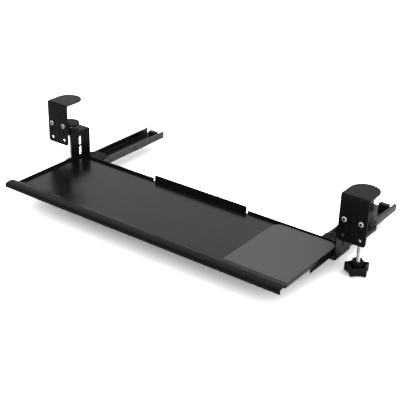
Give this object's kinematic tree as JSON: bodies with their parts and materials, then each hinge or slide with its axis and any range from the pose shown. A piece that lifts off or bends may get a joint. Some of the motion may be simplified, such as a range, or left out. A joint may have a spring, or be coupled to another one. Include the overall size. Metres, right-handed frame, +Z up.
{
  "type": "sliding keyboard tray",
  "caption": "Under-desk keyboard tray that slides on two ball-bearing rails and hangs from a desk's edge on two screw clamps.",
  "frame": {"origin": "midway between the two clamps, where the desk's front edge (the rear face of the jaws' leaves) meets the desk's top face (the underside of the jaws' soft pads)", "axes": "+X to the right of a person sitting at the desk, +Y back under the desk, along the slides, +Z up, along the clamp screws"},
  "size_m": [0.8114, 0.469, 0.1746],
  "materials": {
    "tray_coat": "satin black powder coat",
    "rest_plastic": "fine-grained black plastic",
    "mouse_pad_face": "dark grey mat with a fine cloth face",
    "slide_coat": "greased black electro-coat",
    "bright_zinc": "bright zinc plating",
    "dark_zinc": "black zinc plating",
    "cage_steel": "thin drawn steel strip",
    "ball_steel": "polished bearing steel",
    "rail_coat": "black electro-coat",
    "powder_coat": "satin black powder coat on bent sheet steel",
    "stop_plastic": "moulded black nylon",
    "knob_plastic": "moulded black plastic",
    "soft_pad": "dense black foam rubber"
  },
  "bodies": {
    "clamp_frame": {"left_outer_rail": "rail_coat", "right_outer_rail": "rail_coat", "left_end_stop": "stop_plastic", "right_end_stop": "stop_plastic", "end_stop_screws": "dark_zinc", "rail_rivets": "dark_zinc", "left_bracket": "powder_coat", "right_bracket": "powder_coat", "left_upper_jaw": "powder_coat", "right_upper_jaw": "powder_coat", "left_jaw_pad": "soft_pad", "right_jaw_pad": "soft_pad", "left_jaw_screws": "bright_zinc", "right_jaw_screws": "bright_zinc", "left_jaw_nuts": "bright_zinc", "right_jaw_nuts": "bright_zinc", "left_weld_nut": "dark_zinc", "right_weld_nut": "dark_zinc"},
    "tray": {"tray_pan": "tray_coat", "wrist_rest": "rest_plastic", "rest_screws": "dark_zinc", "mouse_pad": "mouse_pad_face", "left_slide_plate": "slide_coat", "right_slide_plate": "slide_coat", "left_inner_slide": "slide_coat", "right_inner_slide": "slide_coat", "slide_nuts": "bright_zinc"},
    "left_cage": {"left_ball_cage": "cage_steel", "left_balls": "ball_steel"},
    "right_cage": {"right_ball_cage": "cage_steel", "right_balls": "ball_steel"},
    "left_clamp_disc": {"left_disc": "powder_coat", "left_disc_face": "soft_pad"},
    "right_clamp_disc": {"right_disc": "powder_coat", "right_disc_face": "soft_pad"},
    "left_screw_and_knob": {"left_clamp_screw": "bright_zinc", "left_knob": "knob_plastic"},
    "right_screw_and_knob": {"right_clamp_screw": "bright_zinc", "right_knob": "knob_plastic"}
  },
  "joints": [
    {"name": "tray_slide", "type": "slide", "parent": "clamp_frame", "child": "tray", "axis": [0, 1, 0], "range_m": [0, 0.172]},
    {"name": "left_cage_slide", "type": "slide", "parent": "clamp_frame", "child": "left_cage", "axis": [0, 1, 0], "range_m": [0, 0.0861]},
    {"name": "right_cage_slide", "type": "slide", "parent": "clamp_frame", "child": "right_cage", "axis": [0, 1, 0], "range_m": [0, 0.0861]},
    {"name": "left_disc_lift", "type": "slide", "parent": "clamp_frame", "child": "left_clamp_disc", "axis": [0, 0, 1], "range_m": [-0.002, 0.0522]},
    {"name": "left_screw_turn", "type": "hinge", "parent": "left_clamp_disc", "child": "left_screw_and_knob", "pos_m": [-0.3762, 0.037, -0.1116], "axis": [0, 0, 1], "range_deg": [-580, 15039]},
    {"name": "right_disc_lift", "type": "slide", "parent": "clamp_frame", "child": "right_clamp_disc", "axis": [0, 0, 1], "range_m": [-0.002, 0.0522]},
    {"name": "right_screw_turn", "type": "hinge", "parent": "right_clamp_disc", "child": "right_screw_and_knob", "pos_m": [0.3762, 0.037, -0.1116], "axis": [0, 0, 1], "range_deg": [-580, 15039]}
  ],
  "couplings": [
    {"joint": "left_cage_slide", "follows": "tray_slide", "ratio": 0.5},
    {"joint": "right_cage_slide", "follows": "tray_slide", "ratio": 0.5},
    {"joint": "left_screw_turn", "follows": "left_disc_lift", "rad_per_m": 5026.5},
    {"joint": "right_screw_turn", "follows": "right_disc_lift", "rad_per_m": 5026.5}
  ]
}
